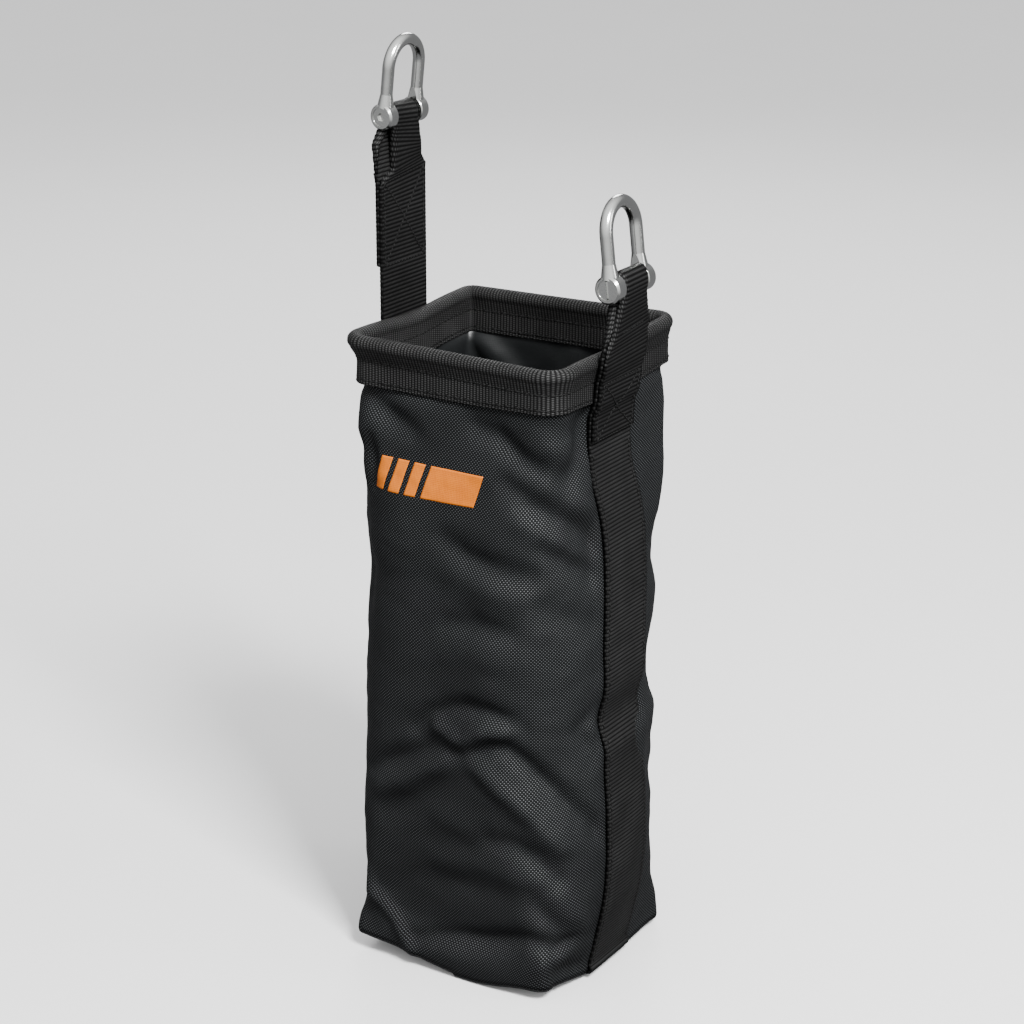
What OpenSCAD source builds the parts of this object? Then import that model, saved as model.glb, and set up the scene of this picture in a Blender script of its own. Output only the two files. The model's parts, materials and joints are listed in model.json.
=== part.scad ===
// Rope storage bag: a square woven-nylon sack with a stiffened rim, carried by one webbing
// strap that runs under the base and ends in two folded eyes, each with its own shackle.
// Millimetres. +Z is up, X runs from the long strap (-X) to the short one (+X).
// The origin is the middle of the underside.

/* [Bag] */
// Outside width between the two faces that carry the strap
bag_w = 145; // [125:1:190]
// Outside depth from the front face to the rear face
bag_d = 130; // [110:1:180]
// Height of the rim's top above the ground
rim_h = 410; // [300:5:600]
// Thickness of the coated fabric
wall_t = 1.5; // [1.2:0.1:2]
// Outside radius of the bag's upright corners at the rim and at the base
corner_r = 14; // [12:1:25]
// The same radius where the soft wall is at its roundest, halfway up
belly_r = 56; // [20:1:60]

/* [Rim] */
// Radius of the steel hoop inside the binding
hoop_r = 3.2; // [2.5:0.1:4]
// Height of the binding on the face of the bag
band_h = 29; // [24:1:45]
// Thickness of the binding
band_t = 1.5; // [1:0.1:2]

/* [Straps] */
// Width of the strap's webbing
strap_w = 50; // [44:1:56]
// Thickness of one ply of the strap
strap_t = 2.4; // [2:0.1:3]
// Height of the long strap's pin above the rim
long_rise = 124; // [110:1:160]
// Height of the short strap's pin above the rim
short_rise = 40; // [38:1:60]
// Length of the folded eye, from the end of its splice to the pin
eye_len = 34; // [30:1:36]
// Length of the splice, where the returned tail lies on the strap
splice_len = 59; // [50:1:65]

/* [Shackles] */
// Size of the long strap's shackle against the short one's
long_k = 0.93; // [0.9:0.01:1]
// Inward lean of both bows, in degrees
lean = 6.5; // [0:0.5:15]
// Diameter of the short strap's bow and of its pin
rod_d = 8; // [7:0.5:9]
// Width between the two ears
jaw_w = 26; // [25:0.5:30]
// Inside length from the pin's centre to the crown
bow_len = 44; // [40:1:60]
// Diameter of an ear
ear_d = 17; // [16:0.5:20]
// Thickness of an ear
ear_t = 9; // [8:0.5:11]

/* [Printed mark] */
// Height of the slanted bars
mark_h = 20; // [10:1:25]
// Width of one narrow bar
mark_bar_w = 8; // [4:0.5:9]

/* [Hidden] */
$fn = 64;

// Overlap that joins two touching shapes into one
eps = 0.01;

// Clearances
fit_gap = 0.1;      // between a pin and its bore, and round the hoop
fold_gap = 0.3;     // between the two sides of a strap's fold
eye_gap = 0.3;      // between a pin and the webbing wrapped over it
strap_gap = 0.6;    // between the strap and the binding that it crosses

// Rim
bulb_r = hoop_r + fit_gap + band_t;
hoop_z = rim_h - bulb_r;
band_z = rim_h - band_h;
// Middle line of the wall where the rim holds it
wall_x = bag_w/2 - wall_t/2;
wall_y = bag_d/2 - wall_t/2;
wall_r = corner_r - wall_t/2;

// Base and inside seams
base_z = strap_t;
seam_t = 1.6;
facet_gap = 0.1;    // room for the flats of the wall's inner corners
base_seam_h = 10;
side_seam_w = 18;

// Soft wall: it rounds out between its stiff ends, and keeps the same girth at every height
levels = 10;
corner_steps = 12;
function level_z(i) = base_z + i*(band_z - base_z)/levels;
function fullness(i) = sin(180*i/levels);
function swell_r(i) = (belly_r - corner_r)*fullness(i);
function swell(i) = (1 - PI/4)*swell_r(i);

// Strap run on a side face, as [height, distance from the middle of the bag]
face_x = bag_w/2;
band_x = face_x + band_t + strap_gap;
bulb_x = wall_x + bulb_r + fit_gap;
ply_x = bulb_x + strap_t;               // where the inner and the outer ply meet
under_band = band_z - 5;
wall_run = [for (i = [0:levels]) [level_z(i), face_x + swell(i)]];
strap_run = concat(
    [for (p = wall_run) if (p[0] < under_band) p],
    [
        [under_band, lookup(under_band, wall_run)], [band_z - 1, band_x],
        [hoop_z - 10, band_x], [hoop_z - 3, bulb_x], [rim_h + 20, bulb_x]
    ]
);
hinge_z = rim_h + 2.5;
long_hinge_x = bulb_x + strap_t/2;
long_pin_z = rim_h + long_rise;
short_pin_z = rim_h + short_rise;
tail_z = short_pin_z - eye_len - splice_len;

// Folded eye: the webbing is halved in width, so it is two plies thick round the pin
pin_r = rod_d/2;
eye_side_gap = 0.5; // between the folded eye and an ear
long_taper = 14;    // length in which the webbing narrows to its folded width
short_taper = 26;
eye_slit = 6;       // plies still joined above the splice

// Shackle, drawn about the centre of its pin
leg_y = jaw_w/2 + rod_d/2;
crown_z = bow_len - jaw_w/2;
ear_r = ear_d/2;
ear_y = jaw_w/2 + ear_t;
ear_chamfer = 1.2;
neck_len = 9;
bore_r = pin_r + fit_gap;
head_r = 1.5*pin_r;
head_h = 2.6;
head_sink = 0.5;    // depth of the head below the ear's face
tip_sink = 0.5;
hex_across = 5;
socket_h = 1.8;
slot_w = 1.4;

// Threads, drawn as thin cords along their rows
thread_w = 0.8;
thread_t = 0.4;
stitch_inset = 3;

// ---------------------------------------------------------------- helpers

module along_y(from, to, r1, r2) {
    translate([0, from, 0]) rotate([-90, 0, 0]) cylinder(h = to - from, r1 = r1, r2 = r2);
}

module rounded_rect(w, d, r) {
    square([w - 2*r, d], center = true);
    square([w, d - 2*r], center = true);
    for (x = [-1, 1], y = [-1, 1]) translate([x*(w/2 - r), y*(d/2 - r)]) circle(r);
}

function arc(centre, r, from, to) = [
    for (k = [0:corner_steps]) let (a = from + (to - from)*k/corner_steps)
        centre + r*[cos(a), sin(a)]];

// Plan of the wall's rear half at a level, its surface moved out by grow
function half_plan(i, grow) =
    let (x = face_x + swell(i) + grow, y = bag_d/2 + swell(i) + grow)
    let (r = corner_r + swell_r(i) + grow)
    concat([[x, 0]], arc([x - r, y - r], r, 0, 90), arc([r - x, y - r], r, 90, 180), [[-x, 0]]);

// Edge of the wall's rear half at a level, between the surfaces moved out by near and far
function wall_edge(i, z, near, far) =
    let (outer = half_plan(i, far), inner = half_plan(i, near), n = len(inner))
    concat([for (p = outer) [p.x, p.y, z]], [for (k = [n - 1:-1:0]) [inner[k].x, inner[k].y, z]]);

// The wall's rear half, lofted through its levels to the foot of the hoop
module half_wall(near, far) {
    edges = concat(
        [for (i = [0:levels]) wall_edge(i, level_z(i), near, far)],
        [wall_edge(levels, hoop_z - bulb_r, near, far)]);
    n = len(edges[0]);
    top = len(edges) - 1;
    polyhedron(
        points = [for (edge = edges) for (p = edge) p],
        faces = concat(
            [[for (k = [0:n - 1]) k], [for (k = [n - 1:-1:0]) top*n + k]],
            [for (i = [0:top - 1], k = [0:n - 1]) let (a = i*n + k, b = i*n + (k + 1)%n)
                each [[a, a + n, b], [b, a + n, b + n]]]));
}

// Sweeps a section round the wall's middle line: its x points outwards and its y up
module round_the_rim() {
    for (side = [0:3]) {
        half = side % 2 == 0 ? [wall_x, wall_y] : [wall_y, wall_x];
        rotate([0, 0, 90*side]) {
            translate([half.x, 0, 0]) rotate([90, 0, 0])
                linear_extrude(2*(half.y - wall_r), center = true) children();
            translate([half.x - wall_r, half.y - wall_r, 0])
                rotate_extrude(angle = 90) translate([wall_r, 0]) children();
        }
    }
}

// Extrudes an outline drawn in X and Z to a width along Y
module across(w) {
    rotate([90, 0, 0]) linear_extrude(w, center = true) children();
}

// Extrudes an outline drawn in Y and Z along X
module facing_x(depth) {
    rotate([90, 0, 90]) linear_extrude(depth, center = true) children();
}

function run_x(z) = lookup(z, strap_run);

function heights(from, to) = concat(
    [from], [for (p = strap_run) if (p[0] > from && p[0] < to) p[0]], [to]);

// A layer on the +X face that follows the strap's run, from near to far off the bag
module layer(from, to, near, far) {
    zs = heights(from, to);
    outer = [for (z = zs) [run_x(z) + far, z]];
    inner = [for (i = [len(zs) - 1:-1:0]) [run_x(zs[i]) + near, zs[i]]];
    polygon(concat(outer, inner));
}

// One ply of the strap, count plies out from the bag
module ply(from, to, count) {
    layer(from, to, count*strap_t, (count + 1)*strap_t);
}

// Space over a sewn strap in which the free part folds, half_t thick each side of the fold
module fold_room(x, half_t) {
    low = hinge_z - (half_t + fold_gap)*sqrt(2);
    reach = 20;
    polygon([
        [x - reach, hinge_z + reach], [x - reach, low], [x, low],
        [x + reach, low - reach], [x + reach, hinge_z + reach]
    ]);
}

// Round-ended region above a fold
module above_fold(x, half_t) {
    reach = 20;
    translate([x, hinge_z]) circle(half_t);
    translate([x - reach, hinge_z]) square([2*reach, long_rise + 2*reach]);
}

// Where the tangent from [p, -l] meets the +X side of a circle about the origin
function tangent_point(r, p, l) =
    let (turn = atan2(p, l) + acos(r/norm([p, l]))) [r*sin(turn), -r*cos(turn)];

module teardrop(r, p, l) {
    t = tangent_point(r, p, l);
    circle(r);
    polygon([[p, -l], t, [-t.x, t.y], [-p, -l]]);
}

// A strap above its fold: plies up to the eye, and the folded eye round a pin of size k
module free_strap(hinge_x, half_t, pin_z, taper, k) {
    eye_r = k*pin_r + eye_gap;
    eye_outer_r = eye_r + 2*strap_t;
    eye_half_w = min(strap_w/4, k*jaw_w/2 - eye_side_gap);
    top = pin_z + eye_outer_r + 1;
    full_z = pin_z - eye_len;
    intersection() {
        across(strap_w) intersection() {
            difference() {
                union() {
                    ply(hinge_z - half_t, full_z + eps, 0);
                    ply(max(hinge_z - half_t, full_z - splice_len), full_z + eps, 1);
                    translate([ply_x, pin_z]) teardrop(eye_outer_r, strap_t, eye_len);
                }
                translate([ply_x, pin_z]) teardrop(eye_r, 0.2, eye_len - eye_slit);
            }
            above_fold(hinge_x, half_t);
        }
        facing_x(4*bag_w) polygon([
            [-strap_w/2, 0], [strap_w/2, 0], [strap_w/2, full_z],
            [eye_half_w, full_z + taper], [eye_half_w, top],
            [-eye_half_w, top], [-eye_half_w, full_z + taper], [-strap_w/2, full_z]
        ]);
    }
}

// A sewn box with a cross in it, lying on the plane x = 0 and rising from z = 0
module box_stitch(w, h) {
    module row(length) {
        cube([thread_t, length, thread_w], center = true);
    }
    lean = atan2(h - 3*thread_w, w - 3*thread_w);
    diagonal = norm([h, w]) - 4*thread_w;
    translate([thread_t/2, 0, h/2]) {
        for (z = [-h/2, h/2]) translate([0, 0, z]) row(w);
        for (y = [-w/2, w/2]) translate([0, y, 0]) rotate([90, 0, 0]) row(h);
        for (turn = [-lean, lean]) rotate([turn, 0, 0]) row(diagonal);
    }
}

module shackle_bow() {
    difference() {
        union() {
            for (side = [-1, 1]) scale([1, side, 1]) {
                translate([0, leg_y, 0]) cylinder(h = crown_z, r = rod_d/2);
                translate([0, leg_y, ear_r - 3])
                    cylinder(h = neck_len, r1 = rod_d/2 + 1.6, r2 = rod_d/2);
                ear();
            }
            translate([0, 0, crown_z]) rotate([90, 0, 90])
                rotate_extrude(angle = 180) translate([leg_y, 0]) circle(rod_d/2);
        }
        translate([-ear_r, -jaw_w/2, -ear_r]) cube([2*ear_r, jaw_w, 2*ear_r + neck_len]);
        along_y(-ear_y - 1, ear_y + 1, bore_r, bore_r);
        along_y(-ear_y + head_sink, -ear_y + head_sink + head_h, head_r + fit_gap, bore_r);
        along_y(-ear_y - 1, -ear_y + head_sink + 0.001, head_r + fit_gap, head_r + fit_gap);
    }
}

module ear() {
    rotate([-90, 0, 0]) rotate_extrude() polygon([
        [0, jaw_w/2], [ear_r - ear_chamfer/2, jaw_w/2], [ear_r, jaw_w/2 + ear_chamfer/2],
        [ear_r, ear_y - ear_chamfer], [ear_r - ear_chamfer, ear_y], [0, ear_y]
    ]);
}

module shackle_pin() {
    head_y = -ear_y + head_sink;
    along_y(head_y, head_y + head_h, head_r, pin_r);
    along_y(head_y + head_h, ear_y - tip_sink - 1, pin_r, pin_r);
    along_y(ear_y - tip_sink - 1, ear_y - tip_sink, pin_r, pin_r - 0.8);
}

module at_long_pin() {
    translate([-ply_x, 0, long_pin_z]) rotate([0, lean, 0]) scale(long_k) children();
}

module at_short_pin() {
    translate([ply_x, 0, short_pin_z]) rotate([0, -lean, 0]) children();
}

// ---------------------------------------------------------------- bag

module front_shell() {
    color([0.09, 0.1, 0.1]) mirror([0, 1, 0]) half_wall(-wall_t, 0);
}

module rear_shell() {
    color([0.09, 0.1, 0.1]) half_wall(-wall_t, 0);
}

module base_panel() {
    color([0.09, 0.1, 0.1]) translate([0, 0, base_z])
        linear_extrude(wall_t)
            rounded_rect(bag_w - 2*wall_t, bag_d - 2*wall_t, corner_r - wall_t);
}

// Its corners are as round as the wall's outside, so they clear the wall as it swells
module base_seam_binding() {
    w = bag_w - 2*wall_t;
    d = bag_d - 2*wall_t;
    color([0.12, 0.12, 0.12]) translate([0, 0, base_z + wall_t])
        linear_extrude(base_seam_h) difference() {
            rounded_rect(w, d, corner_r);
            rounded_rect(w - 2*seam_t, d - 2*seam_t, corner_r - seam_t);
        }
}

module side_seam_binding() {
    low = base_z + wall_t + base_seam_h;
    color([0.12, 0.12, 0.12]) across(side_seam_w)
        layer(low, under_band, -wall_t - seam_t, -wall_t);
}

module left_seam_binding() {
    mirror([1, 0, 0]) side_seam_binding();
}

module right_seam_binding() {
    side_seam_binding();
}

// ---------------------------------------------------------------- rim

module rim_hoop() {
    color([0.55, 0.56, 0.58]) round_the_rim() translate([0, hoop_z]) circle(hoop_r);
}

module binding_section() {
    leg_h = hoop_z - hoop_r - band_z;
    difference() {
        union() {
            translate([0, hoop_z]) circle(bulb_r);
            translate([wall_t/2, band_z]) square([band_t, leg_h]);
            translate([-wall_t/2 - band_t, band_z]) square([band_t - facet_gap, leg_h]);
        }
        translate([0, hoop_z]) circle(hoop_r + fit_gap);
    }
}

module rim_binding() {
    color([0.16, 0.16, 0.16]) round_the_rim() binding_section();
}

module rim_thread(z) {
    color([0.07, 0.07, 0.07]) round_the_rim() for (side = [-1, 1])
        translate([side*(wall_t/2 + band_t + thread_t/2), z])
            square([thread_t, thread_w], center = true);
}

module rim_stitching_upper() {
    rim_thread(hoop_z - bulb_r - 2);
}

module rim_stitching_lower() {
    rim_thread(band_z + stitch_inset);
}

// ---------------------------------------------------------------- strap, sewn part

// Half of the strap's sewn part: under the base to the middle, and up the +X face
module sewn_half(hinge_x, half_t) {
    across(strap_w) {
        square([face_x + eps, strap_t]);
        intersection() {
            translate([face_x, base_z]) circle(strap_t);
            translate([face_x, 0]) square(strap_t + eps);
        }
        difference() {
            ply(base_z - eps, hinge_z, 0);
            fold_room(hinge_x, half_t);
        }
    }
}

module load_strap() {
    color([0.11, 0.11, 0.11]) {
        sewn_half(ply_x, strap_t);
        mirror([1, 0, 0]) sewn_half(long_hinge_x, strap_t/2);
    }
}

module strap_edge_stitching() {
    low = base_seam_h;
    high = tail_z - 2*stitch_inset;
    color([0.07, 0.07, 0.07]) for (side = [0, 1], edge = [-1, 1])
        mirror([side, 0, 0]) translate([0, edge*(strap_w/2 - stitch_inset), 0])
            across(thread_w) layer(low, high, strap_t, strap_t + thread_t);
}

module short_strap_tail() {
    color([0.11, 0.11, 0.11]) across(strap_w) difference() {
        ply(tail_z, hinge_z, 1);
        fold_room(ply_x, strap_t);
    }
}

module short_splice_stitching() {
    low = tail_z + stitch_inset;
    high = under_band - 1;
    slope = atan2(run_x(low) - run_x(high), high - low);
    color([0.07, 0.07, 0.07])
        translate([run_x(low) + 2*strap_t, 0, low]) rotate([0, -slope, 0])
            box_stitch(strap_w - 2*stitch_inset, high - low - thread_w);
}

// ---------------------------------------------------------------- printed mark

// Three narrow slanted bars and a broad one, on the upper left of the front face
module printed_mark() {
    gap = 4;
    slant = mark_h/3;
    left = -bag_w/2 + corner_r + 8.5;
    bottom = rim_h - 90;
    print_t = 0.3;
    module bar(w) {
        polygon([[0, 0], [w, 0], [w + slant, mark_h], [slant, mark_h]]);
    }
    color([1, 0.45, 0.08]) intersection() {
        mirror([0, 1, 0]) half_wall(0, print_t);
        translate([left, 0, bottom]) rotate([90, 0, 0]) linear_extrude(bag_d) {
            for (i = [0:2]) translate([i*(mark_bar_w + gap), 0]) bar(mark_bar_w);
            translate([3*(mark_bar_w + gap), 0]) bar(4*mark_bar_w);
        }
    }
}

// ---------------------------------------------------------------- long strap

module long_strap_upper() {
    color([0.11, 0.11, 0.11]) mirror([1, 0, 0])
        free_strap(long_hinge_x, strap_t/2, long_pin_z, long_taper, long_k);
}

module long_splice_stitching() {
    low = long_pin_z - eye_len - splice_len + stitch_inset;
    color([0.07, 0.07, 0.07]) {
        translate([-ply_x - strap_t, 0, low]) scale([-1, 1, 1])
            box_stitch(strap_w - 2*stitch_inset, splice_len - 2*stitch_inset);
        translate([-bulb_x, 0, low])
            box_stitch(strap_w - 2*stitch_inset, splice_len - 2*stitch_inset);
    }
}

module long_shackle_bow() {
    color([0.75, 0.76, 0.75]) at_long_pin() shackle_bow();
}

module long_shackle_pin() {
    color([0.7, 0.71, 0.7]) at_long_pin() difference() {
        shackle_pin();
        translate([0, -ear_y + head_sink + socket_h, 0]) rotate([90, 0, 0])
            cylinder(h = socket_h + 1, r = hex_across/2/cos(30), $fn = 6);
    }
}

// ---------------------------------------------------------------- short strap

module short_strap_upper() {
    color([0.11, 0.11, 0.11]) free_strap(ply_x, strap_t, short_pin_z, short_taper, 1);
}

// A bar tack across each face of the short strap, at the foot of its eye
module short_eye_stitching() {
    z = hinge_z + 2;
    color([0.07, 0.07, 0.07]) for (x = [bulb_x - thread_t/2, ply_x + strap_t + thread_t/2])
        translate([x, 0, z]) cube([thread_t, strap_w - 2*stitch_inset, thread_w], center = true);
}

module short_shackle_bow() {
    color([0.75, 0.76, 0.75]) at_short_pin() shackle_bow();
}

module short_shackle_pin() {
    color([0.7, 0.71, 0.7]) at_short_pin() difference() {
        shackle_pin();
        translate([0, -ear_y + head_sink, 0])
            cube([slot_w, 2*slot_w, 2*head_r + 1], center = true);
    }
}

front_shell();
rear_shell();
base_panel();
base_seam_binding();
left_seam_binding();
right_seam_binding();
rim_hoop();
rim_binding();
rim_stitching_upper();
rim_stitching_lower();
load_strap();
strap_edge_stitching();
short_strap_tail();
short_splice_stitching();
printed_mark();
long_strap_upper();
long_splice_stitching();
long_shackle_bow();
long_shackle_pin();
short_strap_upper();
short_eye_stitching();
short_shackle_bow();
short_shackle_pin();
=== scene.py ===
"""A square woven rope bag hung from two shackles on one webbing strap.

Lengths are in metres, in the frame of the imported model: +Z up, the printed face towards -Y,
the long strap on the -X side and the short one on the +X side.
"""
import json
import math

import bpy
import numpy as np
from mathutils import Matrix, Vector


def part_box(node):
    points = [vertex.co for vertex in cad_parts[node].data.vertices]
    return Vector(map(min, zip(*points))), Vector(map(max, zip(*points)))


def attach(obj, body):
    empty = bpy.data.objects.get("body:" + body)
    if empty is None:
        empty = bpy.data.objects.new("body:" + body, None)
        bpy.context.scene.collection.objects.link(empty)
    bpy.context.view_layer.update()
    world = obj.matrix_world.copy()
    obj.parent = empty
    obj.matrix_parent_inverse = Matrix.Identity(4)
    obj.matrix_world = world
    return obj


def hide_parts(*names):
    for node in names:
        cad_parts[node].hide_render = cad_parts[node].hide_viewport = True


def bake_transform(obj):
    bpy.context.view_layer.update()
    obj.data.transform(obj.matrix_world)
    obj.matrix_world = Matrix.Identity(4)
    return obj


MM = 0.001

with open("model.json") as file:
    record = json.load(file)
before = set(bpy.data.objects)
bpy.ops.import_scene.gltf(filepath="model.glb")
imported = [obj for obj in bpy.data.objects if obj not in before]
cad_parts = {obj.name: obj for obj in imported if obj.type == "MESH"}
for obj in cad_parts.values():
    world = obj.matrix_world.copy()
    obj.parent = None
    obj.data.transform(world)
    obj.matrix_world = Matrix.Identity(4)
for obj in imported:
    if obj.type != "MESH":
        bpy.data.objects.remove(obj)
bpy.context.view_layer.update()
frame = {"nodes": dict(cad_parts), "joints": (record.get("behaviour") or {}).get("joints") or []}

# ------------ sizes, from the frame

hoop_low, hoop_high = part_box("rim_hoop")
binding_low, binding_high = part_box("rim_binding")
strap_low, strap_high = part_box("load_strap")
base_low, base_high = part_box("base_panel")
mark_low, mark_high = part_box("printed_mark")

hoop_r = (hoop_high.z - hoop_low.z) / 2
hoop_z = (hoop_high.z + hoop_low.z) / 2
wall_x = hoop_high.x - hoop_r           # middle line of the wall where the hoop holds it
wall_y = hoop_high.y - hoop_r
rim_z = binding_high.z
band_z = binding_low.z
wall_t = base_high.z - base_low.z
base_z = base_low.z
tail_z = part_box("short_strap_tail")[0].z
corner_r = 13.25 * MM                   # of the wall's middle line, at the rim
bulb_r = rim_z - hoop_z
STRAP_W = strap_high.y - strap_low.y
STRAP_CLOTH = STRAP_W - 3 * MM          # width of the webbing as drawn
PLY = base_low.z - strap_low.z
STRAP_T = PLY - 0.35 * MM
BAND_LEG = wall_t / 2 + 1.5 * MM        # from the wall's middle line to the binding's outer face
GIRTH = 2 * (2 * wall_x + 2 * wall_y) - (8 - 2 * math.pi) * corner_r

WEAVE = 1.07 * MM                       # from yarn to yarn
RIB = 2.5 * MM
BAND_RIB = 2.2 * MM
STITCH = 3.2 * MM

JOINTS = {joint["name"]: joint for joint in frame["joints"]}


def joint_place(name):
    return Vector(JOINTS[name]["pos_m"])


long_pin = joint_place("long_shackle_swing")
short_pin = joint_place("short_shackle_swing")
fold_z = joint_place("long_strap_fold").z


# ------------ small helpers

def smooth(x, low, high):
    """0 at low, 1 at high, and a smooth step between."""
    t = np.clip((np.asarray(x, float) - low) / (high - low), 0, 1)
    return t * t * (3 - 2 * t)


def bump(x, middle, width):
    return np.exp(-((np.asarray(x, float) - middle) / width) ** 2)


def along(x, points):
    """Smooth curve through (x, value) points, which are in rising order of x."""
    xs = np.array([p[0] for p in points], float)
    ys = np.array([p[1] for p in points], float)
    slopes = np.gradient(ys, xs)
    x = np.clip(np.asarray(x, float), xs[0], xs[-1])
    i = np.clip(np.searchsorted(xs, x) - 1, 0, len(xs) - 2)
    h = xs[i + 1] - xs[i]
    t = (x - xs[i]) / h
    return (ys[i] * (1 + 2 * t) * (1 - t) ** 2 + slopes[i] * h * t * (1 - t) ** 2
            + ys[i + 1] * t * t * (3 - 2 * t) + slopes[i + 1] * h * t * t * (t - 1))


def unit(v):
    return v / np.maximum(np.linalg.norm(v, axis=-1, keepdims=True), 1e-12)


def waves(a, b, seed, octaves=4, size=1.0):
    """Smooth noise over two coordinates, as a sum of waves in seeded directions, about -1 to 1."""
    source = np.random.default_rng(seed)
    total = np.zeros(np.broadcast(a, b).shape)
    for octave in range(octaves):
        for _ in range(5):
            angle = source.uniform(0, 2 * math.pi)
            k = 2 * math.pi / size * 1.7 ** octave * source.uniform(0.7, 1.3)
            phase = source.uniform(0, 2 * math.pi)
            wave = np.sin(k * (a * math.cos(angle) + b * math.sin(angle)) + phase)
            total = total + wave * 0.35 / 1.5 ** octave
    return total / 1.6


# ------------ meshes

def make_object(name, verts, faces, materials):
    mesh = bpy.data.meshes.new(name)
    mesh.from_pydata([tuple(v) for v in verts], [], faces)
    mesh.validate()
    obj = bpy.data.objects.new(name, mesh)
    bpy.context.scene.collection.objects.link(obj)
    for material in materials:
        mesh.materials.append(material)
    mesh.shade_smooth()
    return obj


def grid_faces(rows, cols, wrap_rows=False, wrap_cols=False):
    faces = []
    for r in range(rows if wrap_rows else rows - 1):
        for c in range(cols if wrap_cols else cols - 1):
            r2, c2 = (r + 1) % rows, (c + 1) % cols
            faces.append((r * cols + c, r * cols + c2, r2 * cols + c2, r2 * cols + c))
    return faces


def put_uv(mesh, uv_of_vertex, period=None):
    """Writes a UV map in metres from a (u, v) for each vertex. period joins v round a loop."""
    layer = mesh.uv_layers.new(name="cloth")
    index = np.empty(len(mesh.loops), np.int32)
    mesh.loops.foreach_get("vertex_index", index)
    uv = np.array(uv_of_vertex, np.float32)[index]
    if period:
        for polygon in mesh.polygons:
            loops = list(polygon.loop_indices)
            top = max(uv[i, 1] for i in loops)
            for i in loops:
                if top - uv[i, 1] > period / 2:
                    uv[i, 1] += period
    layer.data.foreach_set("uv", uv.ravel())


def hand_over(obj, body, replaced):
    """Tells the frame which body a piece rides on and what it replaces."""
    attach(obj, body)
    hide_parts(replaced)


def apply_modifiers(obj):
    graph = bpy.context.evaluated_depsgraph_get()
    done = bpy.data.meshes.new_from_object(obj.evaluated_get(graph))
    old = obj.data
    obj.modifiers.clear()
    obj.data = done
    bpy.data.meshes.remove(old)


def thicken(obj, thickness, offset, inner_slot=0):
    """Gives a sheet its thickness. offset is -1 inwards, 0 both ways and 1 outwards."""
    solid = obj.modifiers.new("thickness", "SOLIDIFY")
    solid.thickness = thickness
    solid.offset = offset
    solid.use_even_offset = True
    solid.material_offset = inner_slot
    solid.material_offset_rim = inner_slot
    apply_modifiers(obj)
    obj.data.shade_smooth()


def surface_normals(points):
    """Normals of a grid of points by differences, with the first index up and the second round."""
    up = np.gradient(points, axis=0)
    side = np.gradient(points, axis=1)
    return unit(np.cross(side, up))


# ------------ materials

class Nodes:
    """Short calls for a material's node tree. A number or a socket can feed any input."""

    def __init__(self, name):
        self.material = bpy.data.materials.new(name)
        self.material.use_nodes = True
        self.tree = self.material.node_tree
        self.shader = self.tree.nodes["Principled BSDF"]

    def add(self, kind, inputs=(), **settings):
        node = self.tree.nodes.new("ShaderNode" + kind)
        for key, value in settings.items():
            setattr(node, key, value)
        for socket, value in dict(inputs).items():
            self.feed(node.inputs[socket], value)
        return node

    def feed(self, socket, value):
        if isinstance(value, bpy.types.NodeSocket):
            self.tree.links.new(value, socket)
        else:
            socket.default_value = value

    def math(self, operation, a, b=0.0, c=0.0):
        return self.add("Math", {0: a, 1: b, 2: c}, operation=operation).outputs[0]

    def mix(self, factor, a, b):
        node = self.add("Mix", data_type="RGBA")
        self.feed(node.inputs[0], factor)
        self.feed(node.inputs[6], a)
        self.feed(node.inputs[7], b)
        return node.outputs[2]

    def noise(self, scale, detail=3.0, roughness=0.55, vector=None):
        node = self.add("TexNoise", {"Scale": scale, "Detail": detail, "Roughness": roughness})
        self.feed(node.inputs["Vector"], vector or self.place())
        return node.outputs["Fac"]

    def place(self):
        return self.add("TexCoord").outputs["Object"]

    def cloth_uv(self):
        uv = self.add("UVMap", uv_map="cloth").outputs[0]
        split = self.add("SeparateXYZ", {0: uv})
        return split.outputs[0], split.outputs[1]

    def ramp(self, factor, stops):
        node = self.add("ValToRGB", {0: factor})
        while len(node.color_ramp.elements) < len(stops):
            node.color_ramp.elements.new(0.5)
        for element, (position, value) in zip(node.color_ramp.elements, stops):
            element.position = position
            element.color = (value, value, value, 1)
        return node.outputs[0]

    def bump(self, height, distance, strength=1.0, normal=None):
        node = self.add("Bump", {"Height": height, "Distance": distance, "Strength": strength})
        if normal:
            self.feed(node.inputs["Normal"], normal)
        return node.outputs[0]

    def finish(self, **inputs):
        for socket, value in inputs.items():
            self.feed(self.shader.inputs[socket.replace("_", " ")], value)
        return self.material


def grey(value, tint=(1, 1, 1)):
    return (value * tint[0], value * tint[1], value * tint[2], 1)


def basket_weave(n):
    """Height of a plain weave over the cloth's UV map, and which of the two yarns is on top."""
    u, v = n.cloth_uv()
    wobble = n.math("MULTIPLY", n.math("SUBTRACT", n.noise(60.0), 0.5), 0.5 * WEAVE)
    a = n.math("DIVIDE", n.math("ADD", u, wobble), WEAVE)
    b = n.math("DIVIDE", n.math("ADD", v, wobble), WEAVE)
    over = n.math("PINGPONG", n.math("ADD", n.math("FLOOR", a), n.math("FLOOR", b)), 1.0)
    round_a = n.math("SINE", n.math("MULTIPLY", n.math("FRACT", a), math.pi))
    round_b = n.math("SINE", n.math("MULTIPLY", n.math("FRACT", b), math.pi))
    warp = n.math("MULTIPLY", round_a, n.math("POWER", round_b, 0.5))
    weft = n.math("MULTIPLY", round_b, n.math("POWER", round_a, 0.5))
    return n.add("Mix", {0: over, 2: warp, 3: weft}, data_type="FLOAT").outputs[0], over


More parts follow.
